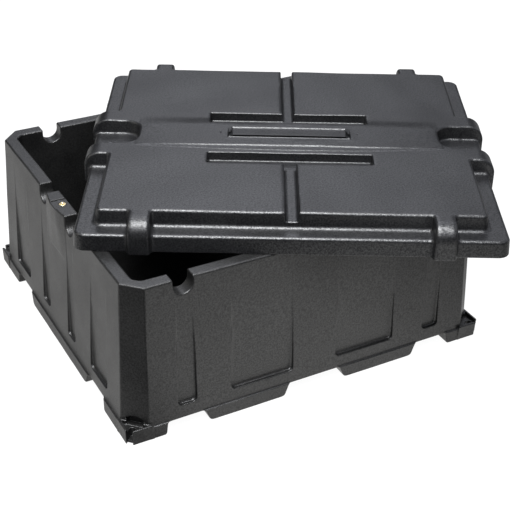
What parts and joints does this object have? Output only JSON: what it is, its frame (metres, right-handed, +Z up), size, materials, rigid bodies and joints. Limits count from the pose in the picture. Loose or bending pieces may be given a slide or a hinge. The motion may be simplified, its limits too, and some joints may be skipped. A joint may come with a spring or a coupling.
{
  "type": "battery box",
  "caption": "Large double-wall plastic battery box with chamfered corners, cable notches and hold-down feet; its loose lid lies turned on the rim.",
  "frame": {"origin": "on the ground under the middle of the tub", "axes": "+X along the tub's width, +Y along its depth towards the back, +Z up"},
  "size_m": [0.869, 0.8466, 0.327],
  "materials": {
    "tub_plastic": "fine texture",
    "lid_plastic": "fine texture",
    "insert_brass": "satin",
    "screw_steel": "satin"
  },
  "bodies": {
    "box": {"tub": "tub_plastic", "insert_left": "insert_brass", "insert_right": "insert_brass"},
    "cover": {"lid": "lid_plastic"},
    "screw_l": {"screw_left": "screw_steel", "washer_left": "screw_steel"},
    "screw_r": {"screw_right": "screw_steel", "washer_right": "screw_steel"}
  },
  "joints": [
    {"name": "lid_lift", "type": "slide", "parent": "box", "child": "cover", "axis": [0, 0, 1], "range_m": [0, 0.3]},
    {"name": "screw_turn_left", "type": "hinge", "parent": "cover", "child": "screw_l", "pos_m": [-0.17868, 0.10896, 0.2996], "axis": [0, 0, 1], "continuous": true},
    {"name": "screw_turn_right", "type": "hinge", "parent": "cover", "child": "screw_r", "pos_m": [0.36268, -0.18496, 0.2996], "axis": [0, 0, 1], "continuous": true}
  ]
}
